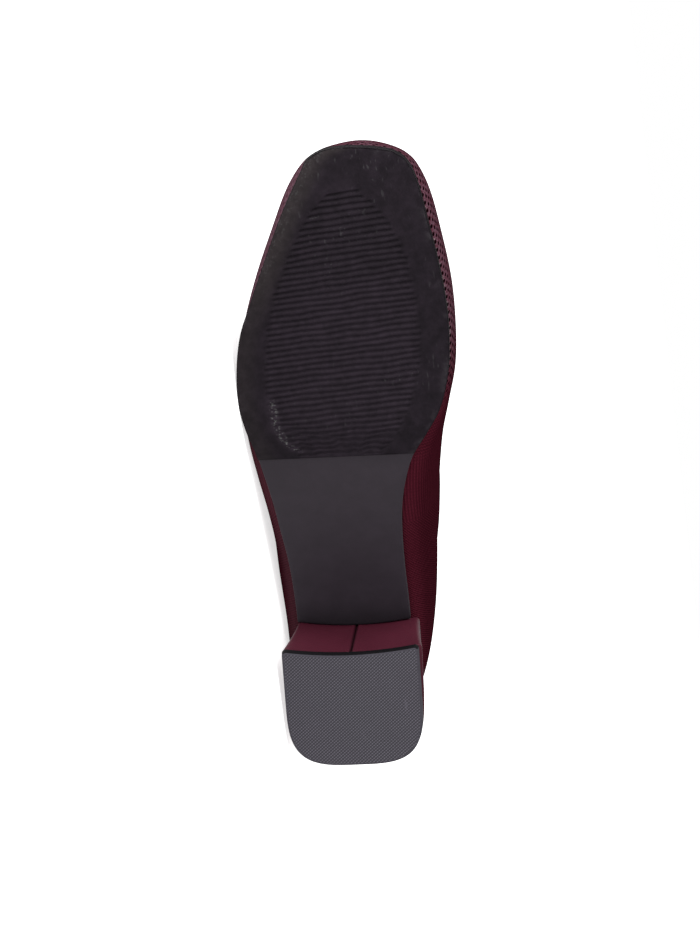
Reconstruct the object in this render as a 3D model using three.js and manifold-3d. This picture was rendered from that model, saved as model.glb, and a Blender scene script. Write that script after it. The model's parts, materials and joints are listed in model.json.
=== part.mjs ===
// One knitted ankle boot for the right foot, women's EU 38, resting on its outer side.
// It is built upright first: x runs to the toe, y to the inner side, z up from the ground,
// and x = 0 is the back edge of the heel lift. All sizes are millimetres.
import * as THREE from 'three';
import { ConvexHull } from 'three/addons/math/ConvexHull.js';
import Module from 'manifold-3d';

const wasm = await Module();
wasm.setup();

// Sole layers, from the ground up
const GAP = 0.3; // clearance between neighbouring pieces
const TREAD = 2; // forefoot rubber
const TREAD_END = 1.3; // forefoot rubber at its rear step
const OUTSOLE = 2.2;
const INSOLE = 2.5;
const WALL = 2.4; // knit and lining of the upper
const SOLE_STACK = TREAD + GAP + OUTSOLE + GAP;

// Side profile of the sole
const TOE_X = 250;
const FLAT_FRONT = 188; // the tread lies flat on the ground between these two
const FLAT_REAR = 150;
const BREAST_X = 47; // front of the heel
const TOE_SPRING = 9;
const SEAT_HEIGHT = 36; // bottom edge of the upper above the ground at the breast
const SEAT_SLOPE = 0.1;

// Heel, measured along its own axis, which is turned from the toe line
const SWING = THREE.MathUtils.degToRad(4);
const HEEL_BACK_Y = 3.2; // where that axis leaves the back edge of the lift
const HEEL_FRONT = 49;
const BREAST_HOLLOW = 2.3;
const HEEL_TOP_WIDTH = 47;
const LIFT_WIDTH = 54;
const LIFT = 5; // thickness of the lift
const HEEL_CORNER = 1.5;

// Ribbed field of the tread
const TREAD_REAR = 127.3;
const TREAD_TAPER = 12; // length over which the rubber thins to its rear step
const RIB_PITCH = 2.4;
const RIB_DEPTH = 0.8;
const RIB_FIRST = 131;
const RIB_LAST = 233;

// Collar: height at its back and at its front
const COLLAR_BACK = 150;
const COLLAR_FRONT = 153;

// Outline of the sole: distance from the toe line to the outer and to the inner edge
const OUTLINE = {
  columns: ['x', 'outer', 'inner'],
  rows: [
    [40, 23.2, 22.4],
    [58, 24, 20.8],
    [75, 25.6, 19.4],
    [93, 28.5, 18.9],
    [105, 30.6, 19.4],
    [117, 33.4, 21],
    [128, 36.5, 23.7],
    [138, 40.2, 28.7],
    [148, 43.2, 34],
    [163, 43.9, 37.8],
    [177, 42.3, 38],
    [187, 39.2, 37.3],
    [205, 33.2, 34],
    [224, 26.5, 28.9],
    [233, 22.6, 26.4],
    [239.5, 19.6, 24],
    [244, 17.4, 21.4],
    [247, 13, 17.6],
    [248.6, 7.8, 12.4],
    [249.2, 2, 6],
  ],
};

// Outline of the ribbed field
const RIB_FIELD = {
  columns: ['x', 'outer', 'inner'],
  rows: [
    [128, 16, 8],
    [131, 22.5, 13.5],
    [139, 28.8, 19.2],
    [151, 31.4, 24],
    [167, 32.6, 27],
    [189, 30.2, 25.4],
    [208, 24.4, 20.9],
    [224, 16.4, 12.6],
    [233, 8, 3.5],
  ],
};

// Foot sections, toe to heel: a plane from the sole to the crown of the foot, with the widths
// at the sole and at the belly, and where the belly sits as a share of the section height
const FOOT = {
  columns: [
    'soleX', 'crownX', 'crownZ', 'footOuter', 'footInner', 'sideOuter', 'sideInner',
    'ridge', 'bellyOuter', 'bellyInner', 'crown',
  ],
  rows: [
    [248.6, 248.6, 23, -2.4, 4.8, -1, 7.2, 3.3, 0.6, 0.6, 2.6],
    [247.9, 247.9, 27, 0.6, 7.4, 3.2, 10.2, 3.3, 0.58, 0.58, 2.6],
    [246.5, 246.5, 29.8, 6.6, 12.6, 8.8, 15.4, 3.3, 0.56, 0.56, 2.6],
    [244, 244, 32.8, 13.2, 18.6, 14.8, 20.4, 3.3, 0.54, 0.54, 2.6],
    [239.6, 239.6, 35, 18.3, 22.8, 20.3, 24.7, 3.3, 0.52, 0.52, 2.5],
    [230, 230, 37.2, 23, 26.6, 26, 29.5, 3.4, 0.48, 0.48, 2.4],
    [215, 215, 40, 29, 31, 31.4, 33.8, 3.6, 0.44, 0.44, 2.3],
    [196, 196, 44.4, 35.6, 35.4, 37.6, 38, 4, 0.41, 0.41, 2.2],
    [178, 178, 49.2, 41, 37.6, 41.8, 39.8, 4, 0.3, 0.38, 2.1],
    [162, 161, 54.6, 42.4, 37, 42.5, 39.8, 3.6, 0.22, 0.37, 2],
    [146, 145, 61.8, 41.6, 32.4, 42.3, 37.2, 3, 0.18, 0.4, 1.95],
    [129, 133, 69.8, 37.2, 23.6, 40.6, 34.6, 2.2, 0.2, 0.46, 1.9],
    [110, 124.5, 77.6, 32.6, 19.2, 38.2, 33.2, 1.6, 0.25, 0.47, 1.9],
    [90, 118, 85.2, 28.2, 18.2, 36.2, 32.2, 1.2, 0.35, 0.48, 1.9],
    [68, 112.6, 92.6, 24.6, 19.2, 34.8, 31, 0.8, 0.46, 0.48, 1.95],
    [46, 108.4, 99.4, 22.8, 21.2, 33.6, 30.8, 0.5, 0.47, 0.48, 2],
    [26, 105.2, 105.6, 22.6, 22.4, 31.2, 30.7, 0.3, 0.47, 0.47, 2],
    [10, 103, 111.4, 21.6, 22, 29.8, 30.5, 0.2, 0.46, 0.46, 2],
    [0.6, 101.4, 117, 17.4, 17.8, 29.4, 30.2, 0.1, 0.46, 0.46, 2],
  ],
};

// Leg sections, heel to collar: a plane from the back seam to the front of the shaft
const LEG = {
  columns: ['backX', 'backZ', 'crownX', 'crownZ', 'sideOuter', 'sideInner', 'belly', 'crown'],
  rows: [
    [-3.2, 44, 100.6, 122.5, 29.3, 29.7, 0.47, 2.1],
    [-5.6, 58, 100.2, 128.5, 29.2, 28.9, 0.49, 2.3],
    [-5.4, 76, 100.2, 136, 29.2, 28, 0.51, 2.5],
    [-2.6, 98, 100.6, 145, 29.2, 27.2, 0.54, 2.8],
    [0, 122, 101.4, 154, 29.3, 26.8, 0.57, 3.1],
    [0.2, 144, 102.4, 162, 29.4, 26.6, 0.58, 3.2],
    [-0.4, 164, 103.4, 170, 29.6, 26.6, 0.58, 3.2],
  ],
};

// How finely the curved surfaces are faceted
const TOE_STATIONS = [244, 247, 248.6, 249.2];
const SECTION_COUNT = 42;
const BELOW_BELLY = 5;
const ABOVE_BELLY = 8;
const SKIRT = 8; // the sections run this far below the sole edge before they are trimmed
const KEEL_SHARE = 0.94; // width down there against the width at the sole edge
const KEEL_ROUND = 14; // length over which it closes behind the heel
const BACK_SEAM = 1.5; // half width of the strip at the back seam
const BACK_ROUND = 4.5; // half width where the back starts to round
const BACK_SHARE = 0.004;
const FAR = 90;
const SLIVER = 0.02; // facets thinner than this are joined to their neighbours

const COLORS = {
  knit: 0x5c2030,
  board: 0x6f6268,
  waist: 0x413b41,
  rubber: 0x2b262c,
  cover: 0x59202f,
  lift: 0x555158,
};

// Smooth curve through the rows of a table, giving its columns by name
function tableCurve(table, station) {
  const stations = table.rows.map(station);
  const spline = new THREE.CubicInterpolant(stations, table.rows.flat(), table.columns.length);
  return (at) => {
    const values = spline.evaluate(at);
    return Object.fromEntries(table.columns.map((name, i) => [name, values[i]]));
  };
}

const outline = tableCurve(OUTLINE, (row) => row[0]);
const ribField = tableCurve(RIB_FIELD, (row) => row[0]);

// Height of the bottom edge of the upper above the ground
function feather(x) {
  if (x > FLAT_FRONT) {
    return SOLE_STACK + TOE_SPRING * ((x - FLAT_FRONT) / (TOE_X - FLAT_FRONT)) ** 2;
  }
  if (x > FLAT_REAR) return SOLE_STACK;
  if (x < BREAST_X) return SEAT_HEIGHT + SEAT_SLOPE * (BREAST_X - x);
  const length = FLAT_REAR - BREAST_X;
  const u = (FLAT_REAR - x) / length;
  const rise = (SEAT_HEIGHT - SOLE_STACK) * u * u * (3 - 2 * u);
  return SOLE_STACK + rise + SEAT_SLOPE * length * u * u * (u - 1);
}

// Even steps from one value to another
function steps(from, to, count) {
  return Array.from({ length: count + 1 }, (_, i) => from + ((to - from) * i) / count);
}

function geometryOf(points, triangles) {
  const geometry = new THREE.BufferGeometry();
  geometry.setAttribute('position', new THREE.Float32BufferAttribute(points.flat(), 3));
  geometry.setIndex(triangles.flat());
  return geometry;
}

// Closed solid through loops of equal count, capped by a fan at each end
function loft(loops) {
  const count = loops[0].length;
  const points = loops.flat();
  const triangles = [];
  for (let i = 0; i + 1 < loops.length; i += 1) {
    for (let j = 0; j < count; j += 1) {
      const a = i * count + j;
      const b = i * count + ((j + 1) % count);
      triangles.push([a, b, b + count], [a, b + count, a + count]);
    }
  }
  const ends = [[0, loops[0], 1], [(loops.length - 1) * count, loops.at(-1), -1]];
  for (const [start, loop, turn] of ends) {
    const middle = [0, 1, 2].map((axis) => loop.reduce((sum, p) => sum + p[axis], 0) / count);
    const hub = points.push(middle) - 1;
    for (let j = 0; j < count; j += 1) {
      const a = start + j;
      const b = start + ((j + 1) % count);
      triangles.push(turn > 0 ? [hub, b, a] : [hub, a, b]);
    }
  }
  return geometryOf(points, triangles);
}

// Closed solid between a low and a high surface over rows of columns [x, y, low, high]
function slab(rows) {
  const width = rows[0].length;
  const points = [];
  const triangles = [];
  for (const row of rows) {
    for (const [x, y, low] of row) points.push([x, y, low]);
  }
  const lift = points.length;
  for (const row of rows) {
    for (const [x, y, , high] of row) points.push([x, y, high]);
  }
  const quad = (a, b, c, d) => triangles.push([a, b, c], [a, c, d]);
  const last = rows.length - 1;
  for (let i = 0; i < last; i += 1) {
    const row = i * width;
    for (let j = 0; j + 1 < width; j += 1) {
      const a = row + j;
      quad(a, a + 1, a + width + 1, a + width);
      quad(lift + a, lift + a + width, lift + a + width + 1, lift + a + 1);
    }
    const b = row + width - 1;
    quad(row, row + width, lift + row + width, lift + row);
    quad(b, lift + b, lift + b + width, b + width);
  }
  for (let j = 0; j + 1 < width; j += 1) {
    const a = last * width + j;
    quad(j, lift + j, lift + j + 1, j + 1);
    quad(a, a + 1, lift + a + 1, lift + a);
  }
  return geometryOf(points, triangles);
}

// The same surface moved inwards along its normals
function inset(geometry, depth) {
  const inner = geometry.clone();
  inner.computeVertexNormals();
  const { position, normal } = inner.attributes;
  const point = new THREE.Vector3();
  const step = new THREE.Vector3();
  for (let i = 0; i < position.count; i += 1) {
    point.fromBufferAttribute(position, i);
    step.fromBufferAttribute(normal, i);
    point.addScaledVector(step, -depth);
    position.setXYZ(i, point.x, point.y, point.z);
  }
  return inner;
}

function toSolid(geometry) {
  const vertProperties = Float32Array.from(geometry.attributes.position.array);
  const triVerts = Uint32Array.from(geometry.index.array);
  return new wasm.Manifold(new wasm.Mesh({ numProp: 3, vertProperties, triVerts }));
}

function toGeometry(solid) {
  const mesh = solid.getMesh();
  const geometry = new THREE.BufferGeometry();
  const points = Float32Array.from(mesh.vertProperties);
  const triangles = Uint32Array.from(mesh.triVerts);
  geometry.setAttribute('position', new THREE.BufferAttribute(points, 3));
  geometry.setIndex(new THREE.BufferAttribute(triangles, 1));
  return geometry;
}

// Block over the whole boot between two heights that follow x
function blockBetween(low, high) {
  const seat = steps(0, BREAST_X, 4);
  const shank = steps(BREAST_X + 4, FLAT_REAR - 4, 25);
  const forefoot = steps(FLAT_REAR, TOE_X + 10, 24);
  const stations = [-FAR, ...seat, ...shank, ...forefoot];
  const row = (x) => [[x, -FAR, low(x), high(x)], [x, FAR, low(x), high(x)]];
  return toSolid(slab(stations.map(row)));
}

// Share of a section's height at which it passes the bottom edge of the upper
function featherShare(s) {
  let share = 0;
  for (let i = 0; i < 10; i += 1) {
    const x = s.keelX + (s.crownX - s.keelX) * share;
    share = THREE.MathUtils.clamp((feather(x) - s.keelZ) / (s.crownZ - s.keelZ), 0, 1);
  }
  return share;
}

function named(table) {
  return table.rows.map((row) => Object.fromEntries(table.columns.map((name, i) => [name, row[i]])));
}

// All sections of the upper in one table: the foot on its keel below the sole edge, then the leg
function upperTable() {
  const foot = named(FOOT).map((s) => {
    const close = KEEL_SHARE * Math.min(1, Math.sqrt(s.soleX / KEEL_ROUND));
    return {
      ...s,
      keelX: s.soleX,
      keelZ: feather(s.soleX) - SKIRT,
      keelOuter: (s.footOuter + s.ridge) * close - s.ridge,
      keelInner: (s.footInner - s.ridge) * close + s.ridge,
    };
  });
  const leg = named(LEG).map((s) => ({
    ...s,
    keelX: s.backX,
    keelZ: s.backZ,
    keelOuter: BACK_SEAM,
    keelInner: BACK_SEAM,
    footOuter: BACK_ROUND,
    footInner: BACK_ROUND,
    bellyOuter: s.belly,
    bellyInner: s.belly,
    ridge: 0,
  }));
  const columns = [
    'keelX', 'keelZ', 'crownX', 'crownZ', 'keelOuter', 'keelInner', 'footOuter', 'footInner',
    'sideOuter', 'sideInner', 'bellyOuter', 'bellyInner', 'ridge', 'crown',
  ];
  const rows = [...foot, ...leg].map((s) => columns.map((name) => s[name]));
  return { columns, rows };
}

// One loop of the upper: up the outer side from the keel to the crown and down the inner side
function upperLoop(s) {
  const place = (share, y) => [
    s.keelX + (s.crownX - s.keelX) * share,
    y,
    s.keelZ + (s.crownZ - s.keelZ) * share,
  ];
  const edge = Math.max(BACK_SHARE, featherShare(s));
  const flank = (keel, foot, side, belly, sign) => {
    const points = [place(0, sign * keel)];
    for (const angle of steps(0, Math.PI / 2, BELOW_BELLY)) {
      const share = edge + (belly - edge) * (1 - Math.cos(angle));
      points.push(place(share, sign * (foot + (side - foot) * Math.sin(angle))));
    }
    for (const angle of steps(0, Math.PI / 2, ABOVE_BELLY).slice(1, -1)) {
      const share = belly + (1 - belly) * Math.sin(angle) ** (2 / s.crown);
      const width = Math.cos(angle) ** (2 / s.crown);
      points.push(place(share, s.ridge + (sign * side - s.ridge) * width));
    }
    return points;
  };
  const inner = flank(s.keelInner, s.footInner, s.sideInner, s.bellyInner, 1);
  const outer = flank(s.keelOuter, s.footOuter, s.sideOuter, s.bellyOuter, -1);
  return [...outer, place(1, s.ridge), ...inner.reverse()];
}

// Transverse line over the sole at a station on the toe line, turned like the heel
function soleLine(station, shares) {
  const fade = 1 - THREE.MathUtils.smoothstep(station, 215, 243);
  const turn = Math.tan(SWING) * fade;
  const edge = (column, sign) => {
    let y = 0;
    for (let i = 0; i < 8; i += 1) y = sign * outline(station + y * turn)[column];
    return y;
  };
  const outer = edge('outer', -1);
  const inner = edge('inner', 1);
  return shares(outer, inner).map((y) => [station + y * turn, y]);
}

function breastLine(v) {
  const half = HEEL_TOP_WIDTH / 2;
  return HEEL_FRONT - BREAST_HOLLOW * (1 - (v / half) ** 2);
}

// Point of the heel from its own axis to the boot axes
function heelPoint(a, v, z) {
  return [
    a * Math.cos(SWING) + v * Math.sin(SWING),
    HEEL_BACK_Y - a * Math.sin(SWING) + v * Math.cos(SWING),
    z,
  ];
}

function makeUpper() {
  const table = upperTable();
  const section = tableCurve(table, (row, i) => i);
  const stations = steps(0, table.rows.length - 1, SECTION_COUNT);
  const form = loft(stations.map((at) => upperLoop(section(at))));
  const below = blockBetween(() => -FAR, feather);
  const collar = (x) => COLLAR_BACK + ((COLLAR_FRONT - COLLAR_BACK) * x) / 98;
  const above = blockBetween(collar, () => 3 * FAR);
  const room = toSolid(inset(form, WALL));
  const shell = toSolid(form).subtract(below).subtract(above).subtract(room);
  const board = blockBetween(feather, (x) => feather(x) + INSOLE);
  const inside = toSolid(inset(form, WALL + 2 * GAP)).intersect(board);
  const insole = inside.simplify(SLIVER);
  return { upper: toGeometry(shell), insole: toGeometry(insole) };
}

function makeOutsole() {
  const shank = steps(BREAST_X, FLAT_REAR - 4, 26);
  const forefoot = steps(FLAT_REAR, 240, 18);
  const stations = [...shank, ...forefoot, ...TOE_STATIONS];
  const across = (outer, inner) => steps(outer, inner, 6);
  const rows = stations.map((station, i) =>
    soleLine(station, across).map(([x, y]) => {
      const v = y - HEEL_BACK_Y + HEEL_FRONT * Math.sin(SWING);
      const at = i === 0 ? heelPoint(breastLine(v) + GAP, v, 0)[0] : x;
      const top = feather(at) - GAP;
      return [at, y, top - OUTSOLE, top];
    }),
  );
  return slab(rows);
}

function makeTread() {
  const ribs = steps(RIB_FIRST, RIB_LAST, 2 * Math.round((RIB_LAST - RIB_FIRST) / RIB_PITCH));
  const stations = [TREAD_REAR, TREAD_REAR + 2, ...ribs, 234.5, 238, 241, ...TOE_STATIONS];
  const rows = stations.map((station, i) => {
    const field = ribField(THREE.MathUtils.clamp(station, 128, 233));
    const across = (outer, inner) => {
      const left = Math.max(outer * 0.8, -field.outer);
      const right = Math.min(inner * 0.8, field.inner);
      return [outer, left, left + 1, (left + right) / 2, right - 1, right, inner];
    };
    const inField = station >= RIB_FIRST && station <= RIB_LAST;
    const valley = inField && i % 2 === 1 ? RIB_DEPTH : 0;
    const full = Math.min(1, (station - TREAD_REAR) / TREAD_TAPER);
    const thick = THREE.MathUtils.lerp(TREAD_END, TREAD, full);
    return soleLine(station, across).map(([x, y], j) => {
      const top = feather(x) - GAP - OUTSOLE - GAP;
      const cut = j >= 2 && j <= 4 ? valley : 0;
      return [x, y, top - thick + cut, top];
    });
  });
  return slab(rows);
}

// Outline of the heel at a height: hollow front, straight flanks and a round back
function heelLoop(z, grow) {
  const up = THREE.MathUtils.clamp((z - LIFT) / (SEAT_HEIGHT - LIFT), 0, 1);
  const flare = (1 - up) ** 1.5;
  const half = THREE.MathUtils.lerp(HEEL_TOP_WIDTH, LIFT_WIDTH, flare) / 2 + grow;
  const power = 2 / THREE.MathUtils.lerp(2.5, 3.5, flare);
  const back = THREE.MathUtils.lerp(-1, 0, flare) - grow;
  const middle = THREE.MathUtils.lerp(36, 28, flare);
  const front = (v) => HEEL_FRONT + grow - BREAST_HOLLOW * (1 - (v / half) ** 2);
  const across = steps(-half + HEEL_CORNER, half - HEEL_CORNER, 8);
  const loop = across.map((v) => heelPoint(front(v), v, z));
  loop.push(heelPoint(front(half) - HEEL_CORNER, half, z));
  for (const angle of steps(0, Math.PI, 22)) {
    const c = Math.cos(angle);
    const v = half * Math.sign(c) * Math.abs(c) ** power;
    loop.push(heelPoint(middle - (middle - back) * Math.sin(angle) ** power, v, z));
  }
  loop.push(heelPoint(front(half) - HEEL_CORNER, -half, z));
  return loop;
}

function makeHeel() {
  const heights = [LIFT + GAP, 10, 16, 23, 30, SEAT_HEIGHT, SEAT_HEIGHT + 12];
  const block = toSolid(loft(heights.map((z) => heelLoop(z, 0))));
  const above = blockBetween((x) => feather(x) - GAP, () => 3 * FAR);
  return toGeometry(block.subtract(above));
}

function makeLift() {
  return loft([heelLoop(0, 0), heelLoop(LIFT - 1, 0.3), heelLoop(LIFT, 0.3)]);
}

// Turn that lays the boot down: from its outer side it rolls to the face it rests on
function restingPose(parts) {
  const points = [];
  const balance = new THREE.Vector3();
  let volume = 0;
  for (const geometry of parts) {
    const { position } = geometry.attributes;
    const corner = (i) => new THREE.Vector3().fromBufferAttribute(position, geometry.index.getX(i));
    for (let i = 0; i < geometry.index.count; i += 3) {
      const [a, b, c] = [corner(i), corner(i + 1), corner(i + 2)];
      const part = a.dot(b.clone().cross(c)) / 6;
      volume += part;
      balance.addScaledVector(a.clone().add(b).add(c), part / 4);
      points.push(a);
    }
  }
  balance.divideScalar(volume);
  const hull = new ConvexHull().setFromPoints(points);
  const down = new THREE.Vector3(0, -1, 0);
  const hit = new THREE.Vector3();
  for (let i = 0; i < 30; i += 1) {
    const ray = new THREE.Ray(balance, down.clone());
    let reach = Infinity;
    for (const face of hull.faces) {
      const facing = face.normal.dot(ray.direction);
      const distance = -face.distanceToPoint(balance) / facing;
      if (facing > 0 && distance < reach) {
        reach = distance;
        hit.copy(face.normal);
      }
    }
    down.copy(hit);
  }
  const up = down.clone().negate();
  const right = new THREE.Vector3(-1, 0, 0).addScaledVector(up, up.x).normalize();
  const away = up.clone().cross(right);
  return new THREE.Matrix4().makeBasis(right, away, up).transpose();
}

const { upper, insole } = makeUpper();
const PIECES = [
  ['upper', upper, COLORS.knit, 0.9],
  ['insole', insole, COLORS.board, 0.8],
  ['outsole', makeOutsole(), COLORS.waist, 0.5],
  ['forefoot_tread', makeTread(), COLORS.rubber, 0.7],
  ['heel', makeHeel(), COLORS.cover, 0.5],
  ['heel_lift', makeLift(), COLORS.lift, 0.6],
];

const pose = restingPose(PIECES.map(([, geometry]) => geometry));
const box = new THREE.Box3();
for (const [, geometry] of PIECES) {
  geometry.applyMatrix4(pose);
  geometry.computeBoundingBox();
  box.union(geometry.boundingBox);
}
const middle = box.getCenter(new THREE.Vector3());

const boot = new THREE.Group();
for (const [name, geometry, color, roughness] of PIECES) {
  geometry.translate(-middle.x, -middle.y, -box.min.z);
  const material = new THREE.MeshStandardMaterial({ color, roughness, metalness: 0 });
  const mesh = new THREE.Mesh(geometry, material);
  mesh.name = name;
  boot.add(mesh);
}

export default boot;
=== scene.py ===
import bisect
import json
import math

import bmesh
import bpy
from bpy.props import FloatProperty, FloatVectorProperty, IntProperty, PointerProperty
from mathutils import Matrix, Vector, noise


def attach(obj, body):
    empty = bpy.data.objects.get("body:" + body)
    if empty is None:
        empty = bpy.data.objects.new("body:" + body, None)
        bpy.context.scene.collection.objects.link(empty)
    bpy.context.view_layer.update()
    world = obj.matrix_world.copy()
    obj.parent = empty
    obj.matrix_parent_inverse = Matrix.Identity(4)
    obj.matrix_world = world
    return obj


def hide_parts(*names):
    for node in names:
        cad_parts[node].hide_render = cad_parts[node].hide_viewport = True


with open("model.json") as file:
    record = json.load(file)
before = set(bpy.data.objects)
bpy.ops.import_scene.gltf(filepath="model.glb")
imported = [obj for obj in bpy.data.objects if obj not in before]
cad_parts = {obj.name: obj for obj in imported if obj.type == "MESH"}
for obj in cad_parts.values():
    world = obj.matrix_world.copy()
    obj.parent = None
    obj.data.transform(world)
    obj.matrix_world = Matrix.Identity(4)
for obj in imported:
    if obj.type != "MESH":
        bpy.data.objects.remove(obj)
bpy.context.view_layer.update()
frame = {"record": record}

bl_info = {
    "name": "Knitted ankle boot",
    "version": (1, 0, 0),
    "blender": (4, 5, 0),
    "location": "View3D > Sidebar > Boot",
    "description": "Dresses the lying boot: knit upper, ribbed sole, covered heel and lift",
    "category": "Object",
}

# The boot is shaped standing, in millimetres: x to the toe, y to the inner side, z up from
# the ground, with x = 0 at the back edge of the heel lift. One matrix then lays it down.
MM = 0.001
GAP = 0.3
TREAD = 2.0
TREAD_END = 1.3
TREAD_REAR = 127.3
TREAD_TAPER = 12.0
OUTSOLE = 2.2
INSOLE = 2.5
SOLE_STACK = TREAD + GAP + OUTSOLE + GAP
TOE_X = 250.0
FLAT_FRONT = 188.0
FLAT_REAR = 150.0
BREAST_X = 47.0
BREAST_REACH = 12.0
TOE_SPRING = 9.0
SEAT_HEIGHT = 36.0
SEAT_SLOPE = 0.1
SWING = math.radians(4.0)
SWING_SLOPE = math.tan(SWING)
HEEL_BACK_Y = 3.2
HEEL_FRONT = 49.0
HEEL_TOP_WIDTH = 47.0
BREAST_HOLLOW = 2.3
LIFT_WIDTH = 54.0
LIFT = 5.0
HEEL_CORNER = 1.5
COVER_LOW = 3.6
RIB_FIRST = 131.0
RIB_LAST = 233.0
RIB_ROWS = 7
RIB_SLANT = (134.0, math.radians(7.7), 207.0, math.radians(9.6))
SKIRT = 8.0
COLLAR_BACK = 150.0
COLLAR_RISE = 3.0 / 98.0

# Where the record's two flat sole faces sit on the standing boot
HEEL_FACE = Vector((24.0, 1.5, 0.0))
FOREFOOT_FACE = Vector((166.0, 32.5, 0.0))

# Camera of the photograph, seen from the standing boot
VIEW_TARGET = Vector((124.6, 0.0, 0.0))
VIEW_DISTANCE = 1557.0
VIEW_PITCH = math.radians(18.0)
VIEW_YAW = math.radians(4.0)
VIEW_LENS = 155.0
VIEW_SENSOR = 36.0

# Stage: half the floor, its two paper tones and its glow, and each softbox with size and power
FLOOR_HALF = 6.0
PAPER = ((0.9, 0.9, 0.9, 1.0), (0.93, 0.93, 0.93, 1.0))
PAPER_GLOW = 0.65
WHITE = (1.0, 1.0, 1.0, 1.0)
SOFTBOXES = [
    ("toe_softbox", (-1.3, -0.6, 0.6), 0.8, 30.0),
    ("front_softbox", (-0.3, -1.9, 0.9), 1.4, 8.0),
]

# Sole outline: x, then how far the outer and the inner edge stand from the toe line
SOLE_OUTLINE = [
    (40, 23.2, 22.4),
    (58, 24.5, 21.3),
    (75, 26.4, 19.9),
    (93, 29.5, 19.2),
    (105, 31.6, 19.5),
    (117, 34.4, 21.2),
    (128, 37.3, 24.2),
    (138, 40.8, 29.5),
    (148, 43.25, 34.5),
    (163, 43.9, 37.8),
    (177, 42.3, 38),
    (187, 39.2, 37.3),
    (205, 33.2, 34),
    (224, 26.5, 28.9),
    (233, 22.6, 26.4),
    (239.5, 19.6, 24),
    (244, 17.4, 21.4),
    (247, 13, 17.6),
    (248.6, 7.8, 12.4),
    (249.2, 2, 6),
]
SOLE_REAR = SOLE_OUTLINE[0][0]
SOLE_TIP = SOLE_OUTLINE[-1][0]

# Where rows begin to close up to the toe, the rounding of the sole, and how sharp an edge gets it
TOE_ROWS = 236.0
EDGE_ROUND = 0.4
SHARP = 1.0

# Ribbed field of the tread: x, outer edge, inner edge
RIB_FIELD = [
    (128, 16, 8),
    (131, 22.5, 13.5),
    (139, 28.8, 19.2),
    (151, 31.4, 24),
    (167, 32.6, 27),
    (189, 30.2, 25.4),
    (208, 24.4, 20.9),
    (224, 16.4, 12.6),
    (233, 8, 3.5),
]
FIELD_REAR = 130.0

# Where the lines across the sole, and across its ribbed field, turn square towards the toe
SOLE_SQUARES = (222.0, 247.0)
FIELD_SQUARES = (215.0, 243.0)

# Foot sections from toe to heel: sole x, crown x and z, outer and inner half width at the
# sole and at the belly, side of the ridge, height of the bellies, roundness of the crown
FOOT = [
    (248.6, 248.6, 23, -2.4, 4.8, -1, 7.2, 3.3, 0.6, 0.6, 2.6),
    (247.9, 247.9, 27, 0.6, 7.4, 3.2, 10.2, 3.3, 0.58, 0.58, 2.6),
    (246.5, 246.5, 29.8, 6.6, 12.6, 8.8, 15.4, 3.3, 0.56, 0.56, 2.6),
    (244, 244, 32.8, 13.2, 18.6, 14.8, 20.4, 3.3, 0.54, 0.54, 2.6),
    (239.6, 239.6, 35, 18.3, 22.8, 20.3, 24.7, 3.3, 0.52, 0.52, 2.5),
    (230, 230, 37.2, 23, 26.6, 26, 29.5, 3.4, 0.48, 0.48, 2.4),
    (215, 215, 40, 29, 31, 31.4, 33.8, 3.6, 0.44, 0.44, 2.3),
    (196, 196, 44.4, 35.6, 35.4, 37.6, 38, 4, 0.41, 0.41, 2.2),
    (178, 178, 49.2, 41, 37.6, 41.8, 39.8, 4, 0.3, 0.38, 2.1),
    (162, 161, 54.6, 42.4, 37, 42.5, 39.8, 3.6, 0.22, 0.37, 2),
    (146, 145, 61.8, 41.6, 32.4, 42.3, 37.2, 3, 0.18, 0.4, 1.95),
    (129, 133, 69.8, 37.2, 23.6, 40.6, 34.6, 2.2, 0.2, 0.46, 1.9),
    (110, 124.5, 77.6, 32.6, 19.2, 38.2, 33.2, 1.6, 0.25, 0.47, 1.9),
    (90, 118, 85.2, 28.2, 18.2, 36.2, 32.2, 1.2, 0.35, 0.48, 1.9),
    (68, 112.6, 92.6, 24.6, 19.2, 34.8, 31, 0.8, 0.46, 0.48, 1.95),
    (46, 108.4, 99.4, 22.8, 21.2, 33.6, 30.8, 0.5, 0.47, 0.48, 2),
    (26, 105.2, 105.6, 22.6, 22.4, 31.2, 30.7, 0.3, 0.47, 0.47, 2),
    (10, 103, 111.4, 21.6, 22, 29.8, 30.5, 0.2, 0.46, 0.46, 2),
    (0.6, 101.4, 117, 17.4, 17.8, 29.4, 30.2, 0.1, 0.46, 0.46, 2),
]

# Leg sections from heel to collar: back x and z, crown x and z, half widths, belly, roundness
LEG = [
    (-3.2, 44, 100.6, 122.5, 29.3, 29.7, 0.47, 2.1),
    (-5.6, 58, 100.2, 128.5, 29.2, 28.9, 0.49, 2.3),
    (-5.4, 76, 100.2, 136, 29.2, 28, 0.51, 2.5),
    (-2.6, 98, 100.6, 145, 29.2, 27.2, 0.54, 2.8),
    (0, 122, 101.4, 154, 29.3, 26.8, 0.57, 3.1),
    (0.2, 144, 102.4, 162, 29.4, 26.6, 0.58, 3.2),
    (-0.4, 164, 103.4, 170, 29.6, 26.6, 0.58, 3.2),
]
BACK_ROUND = 4.5
LOWEST_BACK = 41.5

# Shares of half a section where its edge and its belly end, and the start of a closed section
EDGE_PART = 0.03
BELLY_PART = 0.4
BACK_SHARE = 0.004

# Hem below the collar and slack of the shaft: where they set in, how much they raise the knit
HEM_BELOW = (10.0, 8.5)
HEM_RAISE = 0.6
SLACK_HEIGHT = (40.0, 110.0)
SLACK_RAISE = 0.7
SLACK_RATE = 0.035

# Distances below which doubled points of the upper and of the heel are merged
UPPER_MERGE = 0.02
HEEL_MERGE = 0.005

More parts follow.
